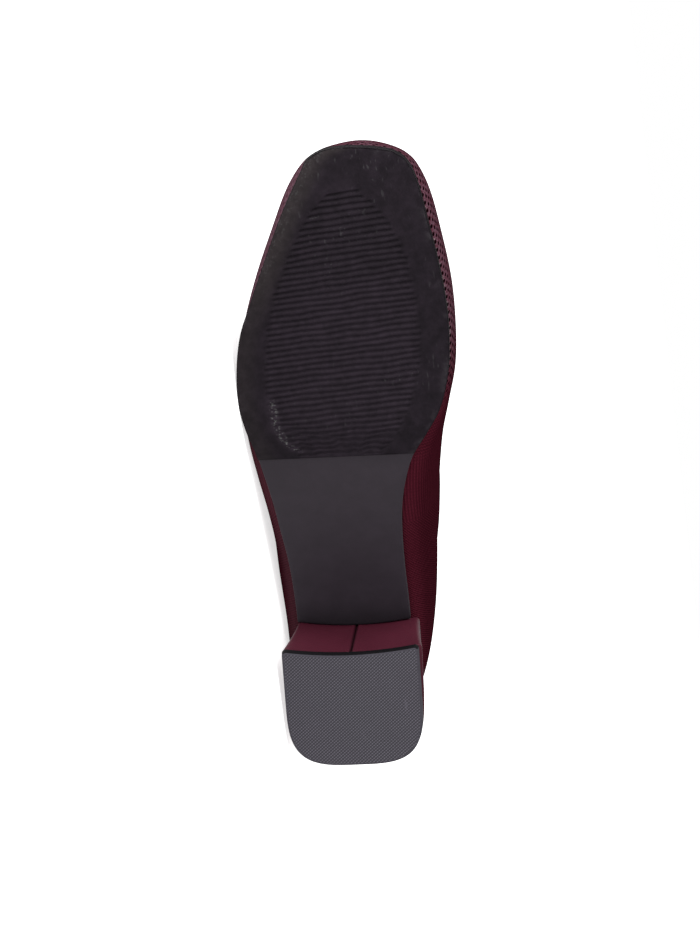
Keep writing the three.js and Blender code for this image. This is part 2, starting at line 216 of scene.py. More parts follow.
# Insole: how far it stays off the outside of the upper, its rounding, rows and paler lining,
# and the step of the search for the last section that reaches the sole
INSOLE_INSET = 0.5
INSOLE_ROUND = 0.5
INSOLE_ROWS = 160
INSOLE_PALER = 1.3
INSOLE_SEARCH = 0.02

# Back of the heel at the seat and at the lift: its x, where it bends round, its squareness
BACK_X = (-1.0, 0.0)
BACK_BEND = (36.0, 28.0)
BACK_SQUARE = (2.5, 3.5)
HEEL_MIDDLE = 26.0

# Points of the heel across half the breast, round a corner and round the back, and its rows
BREAST_STEPS = 12
CORNER_STEPS = 5
BACK_STEPS = 60
HEEL_ROWS = 25

# Seam on the heel breast: points across it, its place, depth and width, and the roll beside it
SEAM_STEPS = [-1.6, -1.1, -0.75, -0.5, -0.3, -0.15, 0.0, 0.15, 0.3, 0.5, 0.75, 1.1, 1.6]
SEAM_PLACE = (0.0, 0.2)
SEAM_DEPTH = 0.8
SEAM_WIDTH = 0.45
SEAM_SHADE = 0.5
SEAM_CLEAR = 2.4
ROLL_HEIGHT = 0.25
ROLL_OFF = 1.2
ROLL_WIDTH = 0.5

# How much fuller the heel cover is on its inner side, at the lift and at the seat, and from where
COVER_SWELL = (1.2, 2.1)
SWELL_FROM = (4.0, 40.0)

# How far the heel cover draws in at shares of its height, to round its two edges
COVER_SOFT = {0.0: 0.4, 0.004: 0.15, 0.992: 0.1, 1.0: 0.35}

# How far the back of the heel reaches up into the upper and under the insole, and over which x
HEEL_TUCK = 2.4
TUCK_FROM = (12.0, 3.0)
INSOLE_TUCK = HEEL_TUCK / 3
INSOLE_TUCK_FROM = (8.0, 0.0)

# Lift from its walking face up: height, and how far it stands out from the heel
LIFT_PROFILE = [
    (0.0, -0.5),
    (0.12, -0.18),
    (0.45, 0.0),
    (1.8, 0.1),
    (3.2, 0.2),
    (3.5, 0.1),
    (3.65, -0.3),
]
LIFT_RIM = 0.3

# A face looks along an axis where its normal leans to it by more than this
FACING = 0.5


def lerp(a, b, share):
    return a + (b - a) * share


def clamp(value, low=0.0, high=1.0):
    return max(low, min(high, value))


def smoothstep(low, high, value):
    t = clamp((value - low) / (high - low))
    return t * t * (3 - 2 * t)


def even_steps(first, last, count):
    """Values at even steps from first to last, with both ends."""
    return [lerp(first, last, i / count) for i in range(count + 1)]


def table_at(rows, stations, at):
    """Values of a table between its rows, on a smooth curve through them."""
    i = bisect.bisect_right(stations, at, 1, len(stations) - 1)
    t0, t1 = stations[i - 1], stations[i]
    before = i - 2 if i > 1 else i
    after = i + 1 if i + 1 < len(stations) else i - 1
    half = (t1 - t0) / 2
    wb = half / (t0 - stations[before])
    wa = half / (stations[after] - t1)
    p = (at - t0) / (t1 - t0)
    sb = -wb * p**3 + 2 * wb * p * p - wb * p
    s0 = (1 + wb) * p**3 - (1.5 + 2 * wb) * p * p + (wb - 0.5) * p + 1
    s1 = -(1 + wa) * p**3 + (1.5 + wa) * p * p + 0.5 * p
    sa = wa * p**3 - wa * p * p
    columns = zip(rows[before], rows[i - 1], rows[i], rows[after])
    return [sb * b + s0 * c + s1 * d + sa * e for b, c, d, e in columns]


def by_x(rows, x):
    """Outer and inner distance of an outline table at x."""
    return table_at(rows, [row[0] for row in rows], x)[1:]


def outline_at(x):
    """Outer and inner distance of the edge of the sole at x."""
    return by_x(SOLE_OUTLINE, clamp(x, SOLE_REAR, SOLE_TIP))


def feather(x):
    """Height of the bottom edge of the upper above the ground."""
    if x > FLAT_FRONT:
        return SOLE_STACK + TOE_SPRING * ((x - FLAT_FRONT) / (TOE_X - FLAT_FRONT)) ** 2
    if x > FLAT_REAR:
        return SOLE_STACK
    if x < BREAST_X:
        return SEAT_HEIGHT + SEAT_SLOPE * (BREAST_X - x)
    length = FLAT_REAR - BREAST_X
    u = (FLAT_REAR - x) / length
    rise = (SEAT_HEIGHT - SOLE_STACK) * u * u * (3 - 2 * u)
    return SOLE_STACK + rise + SEAT_SLOPE * length * u * u * (u - 1)


def swung(point):
    """Place of a point along the foot, square to its swing."""
    return point.x - point.y * SWING_SLOPE


def boot_axes():
    """Rotation from the standing boot's axes to the row's, read from the two sole mounts."""
    mounts = {mount["name"]: mount for mount in frame["record"]["mounts"]}
    heel = Vector(mounts["heel_lift_face"]["pos_m"])
    line = Vector(mounts["forefoot_face"]["pos_m"]) - heel
    up = -Vector(mounts["heel_lift_face"]["axis"]).normalized()
    line = (line - up * line.dot(up)).normalized()
    flat = FOREFOOT_FACE - HEEL_FACE
    turn = math.atan2(flat.y, flat.x)
    toe = line * math.cos(turn) - up.cross(line) * math.sin(turn)
    return Matrix((toe, up.cross(toe), up)).transposed(), heel


BOOT_TURN, HEEL_PLACE = boot_axes()
LAY_DOWN = (
    Matrix.Translation(HEEL_PLACE)
    @ BOOT_TURN.to_4x4()
    @ Matrix.Scale(MM, 4)
    @ Matrix.Translation(-HEEL_FACE)
)


class BootSizes(bpy.types.PropertyGroup):
    """Sizes of the finish that the sole and the upper carry."""

    wall: FloatProperty(
        name="Wall",
        description="Knit and lining of the upper",
        default=0.0024,
        unit="LENGTH",
    )
    wale: FloatProperty(
        name="Wale",
        description="Width of one column of knit stitches",
        default=0.0014,
        unit="LENGTH",
    )
    course: FloatProperty(
        name="Course",
        description="Height of one row of knit stitches",
        default=0.0016,
        unit="LENGTH",
    )
    pinhole: FloatProperty(
        name="Pinhole",
        description="Radius of a knitted hole on the vamp",
        default=0.00066,
        unit="LENGTH",
    )
    rib_pitch: FloatProperty(
        name="Rib pitch",
        description="From one tread rib to the next",
        default=0.00234,
        unit="LENGTH",
    )
    rib_depth: FloatProperty(
        name="Rib depth",
        description="Depth of the grooves of the tread",
        default=0.0006,
        unit="LENGTH",
    )
    hatch: FloatProperty(
        name="Hatch",
        description="Pitch of the crosshatch on the lift",
        default=0.00097,
        unit="LENGTH",
    )
    rings: IntProperty(name="Rings", description="Sections of the upper", default=250, min=60)
    around: IntProperty(name="Around", description="Points round the upper", default=140, min=40)


class BootColours(bpy.types.PropertyGroup):
    """Colours of the boot's materials."""

    knit: FloatVectorProperty(
        name="Knit",
        description="Burgundy yarn",
        default=(0.0305, 0.0042, 0.0078),
        subtype="COLOR",
    )
    cover: FloatVectorProperty(
        name="Heel cover",
        description="Burgundy leather of the heel",
        default=(0.0385, 0.006, 0.0122),
        subtype="COLOR",
    )
    rubber: FloatVectorProperty(
        name="Tread",
        description="Charcoal forefoot rubber",
        default=(0.0068, 0.0049, 0.0069),
        subtype="COLOR",
    )
    waist: FloatVectorProperty(
        name="Waist",
        description="Grey sole between tread and heel",
        default=(0.017, 0.013, 0.0174),
        subtype="COLOR",
    )
    lift: FloatVectorProperty(
        name="Lift",
        description="Grey top piece of the heel",
        default=(0.0325, 0.03, 0.037),
        subtype="COLOR",
    )
    lining: FloatVectorProperty(
        name="Lining",
        description="Inside of the upper",
        default=(0.11, 0.06, 0.07),
        subtype="COLOR",
    )


# Small helpers for node trees


def add_node(tree, kind, settings=(), **inputs):
    """Adds a node, sets its properties and joins or fills its inputs by name or number."""
    node = tree.nodes.new(kind)
    for name, value in settings:
        setattr(node, name, value)
    for name, value in inputs.items():
        key = int(name[1:]) if name[0] == "i" and name[1:].isdigit() else name.replace("_", " ")
        join(tree, value, node.inputs[key])
    return node


def join(tree, value, socket):
    if isinstance(value, bpy.types.NodeSocket):
        tree.links.new(value, socket)
    else:
        socket.default_value = value


def math_node(tree, operation, first, second=0.0, third=0.0):
    settings = [("operation", operation)]
    node = add_node(tree, "ShaderNodeMath", settings, i0=first, i1=second, i2=third)
    return node.outputs[0]


def product(tree, *values):
    """Values multiplied one after the other."""
    result = values[0]
    for value in values[1:]:
        result = math_node(tree, "MULTIPLY", result, value)
    return result


def off_middle(tree, value):
    """How far a value lies from the middle of its step, from -0.5 to 0.5."""
    return math_node(tree, "SUBTRACT", math_node(tree, "FRACT", value), 0.5)


def map_range(tree, value, low, high, to_low=0.0, to_high=1.0):
    settings = [("interpolation_type", "SMOOTHSTEP")]
    ends = {"i1": low, "i2": high, "i3": to_low, "i4": to_high}
    node = add_node(tree, "ShaderNodeMapRange", settings, i0=value, **ends)
    return node.outputs[0]


def mix_colour(tree, factor, first, second):
    node = add_node(tree, "ShaderNodeMix", [("data_type", "RGBA")])
    join(tree, factor, node.inputs[0])
    join(tree, first, node.inputs[6])
    join(tree, second, node.inputs[7])
    return node.outputs[2]


def brighten(tree, colour, gain):
    """Colour times a gain that changes over the surface."""
    settings = [("operation", "SCALE")]
    node = add_node(tree, "ShaderNodeVectorMath", settings, i0=colour, Scale=gain)
    return node.outputs[0]


def point_value(tree, name):
    """Value that the mesh keeps at its points under a name."""
    node = add_node(tree, "ShaderNodeAttribute", [("attribute_name", name)])
    return node.outputs["Fac"]


def surface_map(tree, name):
    """The two directions of a piece's UV map."""
    surface = add_node(tree, "ShaderNodeUVMap", [("uv_map", name)]).outputs[0]
    parts = add_node(tree, "ShaderNodeSeparateXYZ", i0=surface)
    return parts.outputs[0], parts.outputs[1]


def noise_node(tree, vector, scale, detail=3.0, roughness=0.55):
    node = add_node(
        tree, "ShaderNodeTexNoise", Vector=vector, Scale=scale, Detail=detail, Roughness=roughness
    )
    return node.outputs["Fac"]


def bump(tree, height, distance, strength):
    node = add_node(tree, "ShaderNodeBump", Height=height, Distance=distance, Strength=strength)
    return node.outputs["Normal"]


def shade(colour, gain):
    return [gain * c for c in colour]


def rgba(colour, gain=1.0):
    return (colour[0] * gain, colour[1] * gain, colour[2] * gain, 1.0)


def new_group(name, inputs, outputs):
    """Empty shader node group with named float or vector sockets."""
    tree = bpy.data.node_groups.new(name, "ShaderNodeTree")
    for label, kind, value in inputs:
        socket = tree.interface.new_socket(label, in_out="INPUT", socket_type=kind)
        if value is not None:
            socket.default_value = value
    for label, kind in outputs:
        tree.interface.new_socket(label, in_out="OUTPUT", socket_type=kind)
    return tree, tree.nodes.new("NodeGroupInput"), tree.nodes.new("NodeGroupOutput")


def place_group(tree, group, **inputs):
    node = tree.nodes.new("ShaderNodeGroup")
    node.node_tree = group
    for name, value in inputs.items():
        join(tree, value, node.inputs[name.replace("_", " ")])
    return node


def knit_group():
    """Knit stitches on a surface whose map is in metres: columns, or rows where they take over."""
    inputs = [
        ("Map", "NodeSocketVector", None),
        ("Wale", "NodeSocketFloat", 0.001),
        ("Course", "NodeSocketFloat", 0.001),
        ("Rows", "NodeSocketFloat", 0.2),
    ]
    outputs = [("Height", "NodeSocketFloat"), ("Groove", "NodeSocketFloat")]
    tree, inside, out = new_group("knit stitches", inputs, outputs)
    parts = add_node(tree, "ShaderNodeSeparateXYZ", i0=inside.outputs["Map"])

    def ridge(value):
        middle = math_node(tree, "ABSOLUTE", off_middle(tree, value))
        return middle, map_range(tree, middle, 0.5, 0.1)

    middle, column = ridge(math_node(tree, "DIVIDE", parts.outputs[0], inside.outputs["Wale"]))
    slant = product(tree, middle, 0.8)
    step = math_node(tree, "DIVIDE", parts.outputs[1], inside.outputs["Course"])
    row = ridge(math_node(tree, "ADD", step, slant))[1]
    columns = product(tree, column, math_node(tree, "MULTIPLY_ADD", row, 0.3, 0.7))
    rows = product(tree, row, math_node(tree, "MULTIPLY_ADD", column, 0.25, 0.75))
    share = inside.outputs["Rows"]
    first = product(tree, columns, math_node(tree, "SUBTRACT", 1.0, share))
    yarn = math_node(tree, "MULTIPLY_ADD", rows, share, first)
    join(tree, yarn, out.inputs["Height"])
    join(tree, math_node(tree, "SUBTRACT", 1.0, yarn), out.inputs["Groove"])
    return tree


PINHOLE_PITCH = (0.0019, 0.0031)


def pinhole_group():
    """Staggered holes of the vamp, in rows along the foot."""
    inputs = [("Map", "NodeSocketVector", None), ("Radius", "NodeSocketFloat", 0.0005)]
    tree, inside, out = new_group("vamp pinholes", inputs, [("Hole", "NodeSocketFloat")])
    across, along = PINHOLE_PITCH
    parts = add_node(tree, "ShaderNodeSeparateXYZ", i0=inside.outputs["Map"])
    row = math_node(tree, "DIVIDE", parts.outputs[0], across)
    odd = product(tree, math_node(tree, "FLOOR", row), 0.5)
    step = math_node(tree, "ADD", math_node(tree, "DIVIDE", parts.outputs[1], along), odd)
    x = product(tree, off_middle(tree, row), across)
    y = product(tree, off_middle(tree, step), along)
    squares = math_node(tree, "ADD", product(tree, x, x), product(tree, y, y))
    radius = math_node(tree, "SQRT", squares)
    edge = math_node(tree, "DIVIDE", radius, inside.outputs["Radius"])
    join(tree, map_range(tree, edge, 1.25, 0.75), out.inputs["Hole"])
    return tree


def wear_group():
    """Soft blotches and short pale scuffs of handled rubber."""
    inputs = [("Place", "NodeSocketVector", None), ("Amount", "NodeSocketFloat", 0.5)]
    outputs = [(label, "NodeSocketFloat") for label in ("Blotch", "Scuff", "Grain")]
    tree, inside, out = new_group("rubber wear", inputs, outputs)
    place = inside.outputs["Place"]
    join(tree, noise_node(tree, place, 130.0, 5.0, 0.65), out.inputs["Blotch"])
    stretch = add_node(tree, "ShaderNodeMapping", i0=place, Scale=(0.3, 1.0, 1.0))
    marks = map_range(tree, noise_node(tree, stretch.outputs[0], 800.0, 1.0), 0.64, 0.78)
    patches = map_range(tree, noise_node(tree, place, 34.0, 1.0), 0.42, 0.62)
    scuff = product(tree, marks, patches, inside.outputs["Amount"])
    join(tree, scuff, out.inputs["Scuff"])
    join(tree, noise_node(tree, place, 2600.0, 2.0), out.inputs["Grain"])
    return tree


GROUPS = {}


def group(name, make):
    if name not in GROUPS:
        GROUPS[name] = make()
    return GROUPS[name]


def new_material(name, roughness, specular=0.5):
    """Material with a Principled shader, its tree, and the coordinates of its object."""
    material = bpy.data.materials.new(name)
    material.use_nodes = True
    tree = material.node_tree
    shader = tree.nodes["Principled BSDF"]
    shader.inputs["Roughness"].default_value = roughness
    shader.inputs["Specular IOR Level"].default_value = specular
    place = tree.nodes.new("ShaderNodeTexCoord").outputs["Object"]
    return material, tree, shader, place


# Zones of the knit in metres, as pairs of where nothing and where all of a finish or of painted
# light
# is seen: along the foot from the toe
BALL_FRONT = (0.1, 0.108)
BALL_BACK = (0.146, 0.138)
LEAN_FROM = 0.175
HEEL_CALM = (0.17, 0.2)
VAMP_BACK = (0.122, 0.108)
DUST_AND_LIGHT_BACK = (0.125, 0.075)
GLUE_BACK = (0.12, 0.08)

# Up from the edge of the sole
ROWS_UP = (0.02, 0.01)
HOLES_UP = (0.0077, 0.0075)
EDGE_LIGHT_UP = (0.013, 0.003)
DUST_AND_LIGHT_UP = (0.02, 0.0)
GLUE_UP = (0.0016, 0.0003)

# Round the foot from its crown, below zero on the outer side
VAMP_ROUND = (-0.035, -0.01)
FLOOR_ROUND = (-0.02, -0.035)

# Colours of the painted light on the floor side, of dust with painted light on the toe, and of
# glue
FLOOR_SIDE_LIGHT = (0.085, 0.085, 0.095, 1.0)
TOE_DUST_AND_LIGHT = (0.14, 0.1, 0.13, 1.0)
GLUE = (0.17, 0.14, 0.145, 1.0)


def knit_material(sizes, colour):
    """Burgundy knit: ribbed stitches all over and rows of pinholes round the toe."""
    material, tree, shader, place = new_material("burgundy knit", 0.9, 0.0)
    girth, along = surface_map(tree, "knit")
    rim = point_value(tree, "edge")

    # Rows run across the ball next to the sole, columns lean back round the heel
    ball = product(tree, map_range(tree, along, *BALL_FRONT), map_range(tree, along, *BALL_BACK))
    ball = product(tree, ball, map_range(tree, rim, *ROWS_UP))
    rows = math_node(tree, "MULTIPLY_ADD", ball, 0.85, 0.05)
    heel = math_node(tree, "MAXIMUM", math_node(tree, "SUBTRACT", along, LEAN_FROM), 0.0)
    lean = math_node(tree, "MULTIPLY_ADD", heel, 0.8, math_node(tree, "ABSOLUTE", girth))
    leaning = add_node(tree, "ShaderNodeCombineXYZ", i0=lean, i1=along).outputs[0]
    knit = group("knit", knit_group)
    gauge = {"Wale": sizes.wale, "Course": sizes.course}
    stitch = place_group(tree, knit, Map=leaning, Rows=rows, **gauge)

    # Pinholes follow the edge of the sole
    spots = add_node(tree, "ShaderNodeCombineXYZ", i0=rim, i1=along).outputs[0]
    holes = place_group(tree, group("pinholes", pinhole_group), Map=spots, Radius=sizes.pinhole)
    vamp = map_range(tree, along, *VAMP_BACK)
    vamp = product(tree, vamp, map_range(tree, girth, *VAMP_ROUND, 0.4, 1.0))
    vamp = product(tree, vamp, map_range(tree, rim, *HOLES_UP))
    hole = product(tree, holes.outputs["Hole"], vamp)

    # Heathered yarn, with painted shade between the stitches, a painted highlight beside the sole
    # and darker towards the heel
    heather = noise_node(tree, place, 900.0, 2.0)
    cloud = noise_node(tree, place, 45.0, 3.0)
    yarn = mix_colour(tree, heather, rgba(colour, 0.7), rgba(colour, 1.4))
    # Painted shade in the grooves between the stitches, weaker round the heel
    contrast = map_range(tree, along, *HEEL_CALM, 0.65, 0.45)
    stitch_shade = product(tree, stitch.outputs["Groove"], contrast)
    yarn = mix_colour(tree, stitch_shade, yarn, rgba(colour, 0.3))
    yarn = mix_colour(tree, product(tree, cloud, 0.25), yarn, rgba(colour, 1.5))
    # Painted highlight on the knit beside the sole, and the knit darker towards the heel
    edge_highlight_and_heel_tone = map_range(tree, rim, *EDGE_LIGHT_UP, 1.0, 1.5)
    edge_highlight_and_heel_tone = product(tree, edge_highlight_and_heel_tone, map_range(tree, along, *HEEL_CALM, 1.0, 0.86))
    yarn = brighten(tree, yarn, edge_highlight_and_heel_tone)

    # Painted light on the floor side, dust and painted light on the toe, and flecks of glue, all
    # thick beside the sole
    # Painted light: the floor side is lifted towards grey to offset the shade from the floor
    floor_side = map_range(tree, girth, *FLOOR_ROUND)
    grey = product(tree, map_range(tree, rim, *EDGE_LIGHT_UP, 0.0, 0.09), floor_side)
    # Dust on the toe rim, in a pink that is also painted light on the rim
    toe = map_range(tree, along, *DUST_AND_LIGHT_BACK)
    dust = product(tree, map_range(tree, rim, *DUST_AND_LIGHT_UP, 0.0, 0.33), toe)
    dust = product(tree, dust, map_range(tree, heather, 0.35, 0.62, 0.3, 1.0))
    flecks = map_range(tree, noise_node(tree, place, 700.0, 3.0), 0.5, 0.62)
    glue = product(tree, map_range(tree, rim, *GLUE_UP), flecks)
    glue = product(tree, glue, map_range(tree, along, *GLUE_BACK, 0.0, 0.8))
    yarn = mix_colour(tree, grey, yarn, FLOOR_SIDE_LIGHT)
    yarn = mix_colour(tree, dust, yarn, TOE_DUST_AND_LIGHT)
    yarn = mix_colour(tree, glue, yarn, GLUE)
    # The pinholes are painted nearly black: painted shade inside the holes
    join(tree, mix_colour(tree, hole, yarn, rgba(colour, 0.1)), shader.inputs["Base Color"])

    # Relief of stitches, fuzz and holes
    fuzz = math_node(tree, "MULTIPLY_ADD", heather, 0.25, stitch.outputs["Height"])
    height = math_node(tree, "SUBTRACT", fuzz, product(tree, hole, 1.4))
    join(tree, bump(tree, height, 0.00035, 0.9), shader.inputs["Normal"])
    return material


def lining_material(colour):
    """Soft brushed lining inside the upper and over the insole."""
    material, tree, shader, place = new_material("brushed lining", 0.9, 0.2)
    nap = noise_node(tree, place, 1500.0, 3.0)
    cloud = noise_node(tree, place, 60.0, 3.0)
    tone = mix_colour(tree, nap, rgba(colour, 0.75), rgba(colour, 1.25))
    tone = mix_colour(tree, product(tree, cloud, 0.4), tone, rgba(colour, 0.7))
    join(tree, tone, shader.inputs["Base Color"])
    join(tree, bump(tree, nap, 0.0003, 0.6), shader.inputs["Normal"])
    return material


# Rubber: dust and dry border by metres from the edge of the sole, and their colours
RUBBER_DUST = (0.004, 0.0)
RUBBER_BORDER = (0.011, 0.006)
DRY_BORDER = (0.0165, 0.0136, 0.0136, 1.0)
SPECK = (0.06, 0.06, 0.06, 1.0)
PALE_RUBBER = 0.034


def rubber_material(name, colour, roughness, specular, blotches, scuffs):
    """Moulded rubber with blotches, fine grain, pale scuffs and dust towards its edge."""
    material, tree, shader, place = new_material(name, roughness, specular)
    wear = place_group(tree, group("wear", wear_group), Place=place, Amount=scuffs)
    cloud = wear.outputs["Blotch"]
    rim = point_value(tree, "edge")
    rubbed = point_value(tree, "rub")

    # Blotches, and painted shade in the tread's grooves and on the waist by the heel breast
    blotch = map_range(tree, cloud, 0.3, 0.7)
    tone = mix_colour(tree, blotch, rgba(colour, 1.0 - blotches), rgba(colour, 1.0 + blotches))
    groove = product(tree, point_value(tree, "groove"), 0.75)
    tone = mix_colour(tree, groove, tone, rgba(colour, 0.3))

    # Dust at the edge, and dry rubber where the ground has rubbed it and along the tread's outer
    # edge
    patchy = map_range(tree, cloud, 0.5, 0.66)
    dust = product(tree, map_range(tree, rim, *RUBBER_DUST), patchy, scuffs * 0.5)
    pale = rgba([0.5 * c + PALE_RUBBER for c in colour])
    tone = mix_colour(tree, dust, tone, pale)
    border = map_range(tree, rim, *RUBBER_BORDER)
    dry = mix_colour(tree, border, rgba(colour, 2.2), DRY_BORDER)
    tone = mix_colour(tree, rubbed, tone, dry)
    spread = 0.5 * scuffs
    mottle = noise_node(tree, place, 320.0, 4.0, 0.7)
    mottle = map_range(tree, mottle, 0.3, 0.7, 1.0 - spread, 1.0 + spread)
    tone = brighten(tree, tone, mottle)

    # Pale specks on the rubbed parts, and scuffs
    specks = map_range(tree, noise_node(tree, place, 950.0, 2.0), 0.52, 0.68)
    specks = product(tree, map_range(tree, rubbed, 0.5, 1.0), specks)
    tone = mix_colour(tree, specks, tone, SPECK)
    tone = mix_colour(tree, wear.outputs["Scuff"], tone, pale)
    join(tree, tone, shader.inputs["Base Color"])
    rough = math_node(tree, "MULTIPLY_ADD", cloud, blotches, roughness - 0.5 * blotches)
    join(tree, rough, shader.inputs["Roughness"])
    join(tree, bump(tree, wear.outputs["Grain"], 0.0001, 0.3), shader.inputs["Normal"])
    return material


def edge_material(colour):
    """Inked edge of a sole or board, darker than the face beside it."""
    material, tree, shader, place = new_material("inked sole edge", 0.7, 0.03)
    cloud = noise_node(tree, place, 400.0, 3.0)
    tone = mix_colour(tree, cloud, rgba(colour, 0.35), rgba(colour, 0.75))
    join(tree, tone, shader.inputs["Base Color"])
    return material


def cover_material(colour):
    """Smooth leather of the heel cover, with a fine grain and a dark seam."""
    material, tree, shader, place = new_material("heel cover leather", 0.5, 0.09)
    grain = add_node(tree, "ShaderNodeTexVoronoi", Vector=place, Scale=1500.0).outputs["Distance"]
    cloud = noise_node(tree, place, 50.0, 4.0)
    tone = mix_colour(tree, cloud, rgba(colour, 0.75), rgba(colour, 1.3))
    tone = mix_colour(tree, point_value(tree, "groove"), tone, rgba(colour, 0.12))
    join(tree, tone, shader.inputs["Base Color"])
    join(tree, math_node(tree, "MULTIPLY_ADD", cloud, 0.2, 0.4), shader.inputs["Roughness"])
    join(tree, bump(tree, grain, 0.00008, 0.4), shader.inputs["Normal"])
    return material


def lift_material(sizes, colour):
    """Top piece with a moulded crosshatch on its walking face."""
    material, tree, shader, place = new_material("hatched lift", 0.6, 0.15)
    along, across = surface_map(tree, "hatch")
    rate = 2 * math.pi / (sizes.hatch * math.sqrt(2))
    threads = []
    for way in ("ADD", "SUBTRACT"):
        slant = product(tree, math_node(tree, way, along, across), rate)
        wave = math_node(tree, "SINE", slant)
        threads.append(math_node(tree, "MULTIPLY_ADD", wave, 0.5, 0.5))
    weave = product(tree, math_node(tree, "MULTIPLY_ADD", threads[0], 0.8, 0.2), threads[1])
    wear = place_group(tree, group("wear", wear_group), Place=place, Amount=0.4)
    # The hatch is painted pale on its raised lines and dark in its hollows: painted highlight and
    # painted shade
    tone = mix_colour(tree, weave, rgba(colour, 0.4), rgba(colour, 2.9))
    tone = mix_colour(tree, product(tree, wear.outputs["Blotch"], 0.5), tone, rgba(colour, 0.85))
    tone = mix_colour(tree, wear.outputs["Scuff"], tone, rgba(colour, 2.0))
    join(tree, tone, shader.inputs["Base Color"])
    join(tree, bump(tree, weave, 0.0002, 0.7), shader.inputs["Normal"])
    return material


# Small helpers for meshes


def grid_mesh(columns, rows, place):
    """Grid of columns by rows whose points are put in place by their column and row number."""
    bm = bmesh.new()
    for layer in ("edge", "groove", "rub"):
        bm.verts.layers.float.new(layer)
    bmesh.ops.create_grid(bm, x_segments=columns, y_segments=rows, size=0.5)
    cells = {}
    for vert in bm.verts:
        column = round((vert.co.x + 0.5) * columns)
        row = round((vert.co.y + 0.5) * rows)
        cells[vert] = (column, row)
        vert.co = place(column, row)
    return bm, cells


def map_grid(bm, name, value):
    """UV map whose value at each point is given by the point."""
    layer = bm.loops.layers.uv.new(name)
    for face in bm.faces:
        for loop in face.loops:
            loop[layer].uv = value(loop.vert)


def close_holes(bm):
    edges = [edge for edge in bm.edges if edge.is_boundary]
    bmesh.ops.holes_fill(bm, edges=edges, sides=0)


def round_edges(bm, edges, radius):
    bmesh.ops.bevel(
        bm, geom=edges, offset=radius, segments=3, profile=0.5, affect="EDGES", material=-1
    )


def finish_piece(bm, name, node, materials):
    """Lays the standing mesh down and makes it a piece that stands for a node of the frame."""
    bmesh.ops.transform(bm, matrix=LAY_DOWN, verts=bm.verts)
    bmesh.ops.recalc_face_normals(bm, faces=bm.faces)
    for face in bm.faces:
        face.smooth = True
    mesh = bpy.data.meshes.new(name)
    bm.to_mesh(mesh)
    bm.free()
    piece = bpy.data.objects.new(name, mesh)
    bpy.context.scene.collection.objects.link(piece)
    for material in materials:
        mesh.materials.append(material)
    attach(piece, "root")
    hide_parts(node)
    return piece


# The upper


def upper_rows():
    """Foot and leg sections as one table of keel, crown, widths and bellies."""
    rows = []
    for sole, cx, cz, fo, fi, so, si, ridge, bo, bi, crown in FOOT:
        rows.append((sole, feather(sole) - SKIRT, cx, cz, fo, fi, so, si, bo, bi, ridge, crown))
    for bx, bz, cx, cz, so, si, belly, crown in LEG:
        rows.append((bx, bz, cx, cz, BACK_ROUND, BACK_ROUND, so, si, belly, belly, 0.0, crown))
    return rows


def feather_share(keel_x, keel_z, crown_x, crown_z):
    """Share of a section's height at which it passes the bottom edge of the upper."""
    share = 0.0
    for _ in range(10):
        x = keel_x + (crown_x - keel_x) * share
        share = clamp((feather(x) - keel_z) / (crown_z - keel_z))
    return share


def upper_ring(section, count, closed):
    """Points of one section from its outer bottom edge over the crown to the inner one."""
    kx, kz, cx, cz, fo, fi, so, si, bo, bi, ridge, crown = section
    edge = feather_share(kx, kz, cx, cz)
    start = max(edge, BACK_SHARE)
    points = []
    for i in range(count + 1):
        w = 2 * i / count
        sign, foot, side, belly = (-1, fo, so, bo) if w <= 1 else (1, fi, si, bi)
        w = min(w, 2 - w)
        if w < EDGE_PART:
            share = start * w / EDGE_PART if edge <= 0 else start
            y = sign * foot * (w / EDGE_PART if edge <= 0 else 1.0)
        elif w < BELLY_PART:
            angle = (w - EDGE_PART) / (BELLY_PART - EDGE_PART) * math.pi / 2
            share = start + (belly - start) * (1 - math.cos(angle))
            y = sign * (foot + (side - foot) * math.sin(angle))
        else:
            angle = (w - BELLY_PART) / (1 - BELLY_PART) * math.pi / 2
            share = belly + (1 - belly) * math.sin(angle) ** (2 / crown)
            width = max(0.0, math.cos(angle)) ** (2 / crown)
            y = ridge + (sign * side - ridge) * width
        if closed:
            y = ridge
        points.append(Vector((kx + (cx - kx) * share, y, kz + (cz - kz) * share)))
    return points


